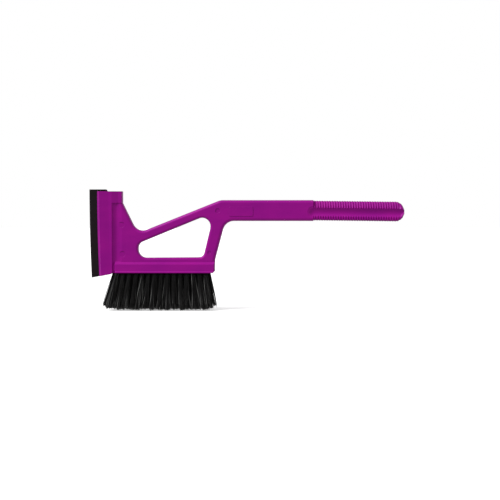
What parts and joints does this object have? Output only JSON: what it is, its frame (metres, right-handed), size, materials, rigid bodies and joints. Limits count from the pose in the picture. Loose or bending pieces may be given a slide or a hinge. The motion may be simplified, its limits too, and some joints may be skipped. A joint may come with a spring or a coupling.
{
  "type": "windshield ice scraper",
  "caption": "One-hand windshield scraper: ribbed grip, open triangular frame, rubber squeegee lip with a scraping blade beside it, and a bristle brush below.",
  "frame": {"origin": "under the middle of the length, in the body's middle plane, at the level of the bristle tips that it stands on", "axes": "+X from the squeegee lip to the end of the grip, +Z from the bristle tips up to the handle, +Y to the side with the hard scraping blade"},
  "size_m": [0.348, 0.0232, 0.134],
  "materials": {
    "body_plastic": "satin moulded polypropylene, fine grain",
    "black_rubber": "matt black rubber",
    "bristle": "black extruded bristle, slight sheen",
    "anchor_steel": "flat drawn wire"
  },
  "bodies": {
    "root": {"body": "body_plastic", "squeegee_strip": "black_rubber", "tuft_front_01": "bristle", "tuft_front_02": "bristle", "tuft_front_03": "bristle", "tuft_front_04": "bristle", "tuft_front_05": "bristle", "tuft_front_06": "bristle", "tuft_front_07": "bristle", "tuft_front_08": "bristle", "tuft_front_09": "bristle", "tuft_front_10": "bristle", "tuft_front_11": "bristle", "tuft_front_12": "bristle", "tuft_front_13": "bristle", "tuft_front_14": "bristle", "tuft_front_15": "bristle", "tuft_middle_01": "bristle", "tuft_middle_02": "bristle", "tuft_middle_03": "bristle", "tuft_middle_04": "bristle", "tuft_middle_05": "bristle", "tuft_middle_06": "bristle", "tuft_middle_07": "bristle", "tuft_middle_08": "bristle", "tuft_middle_09": "bristle", "tuft_middle_10": "bristle", "tuft_middle_11": "bristle", "tuft_middle_12": "bristle", "tuft_middle_13": "bristle", "tuft_middle_14": "bristle", "tuft_middle_15": "bristle", "tuft_middle_16": "bristle", "tuft_back_01": "bristle", "tuft_back_02": "bristle", "tuft_back_03": "bristle", "tuft_back_04": "bristle", "tuft_back_05": "bristle", "tuft_back_06": "bristle", "tuft_back_07": "bristle", "tuft_back_08": "bristle", "tuft_back_09": "bristle", "tuft_back_10": "bristle", "tuft_back_11": "bristle", "tuft_back_12": "bristle", "tuft_back_13": "bristle", "tuft_back_14": "bristle", "tuft_back_15": "bristle", "anchors_front": "anchor_steel", "anchors_middle": "anchor_steel", "anchors_back": "anchor_steel"}
  },
  "joints": []
}
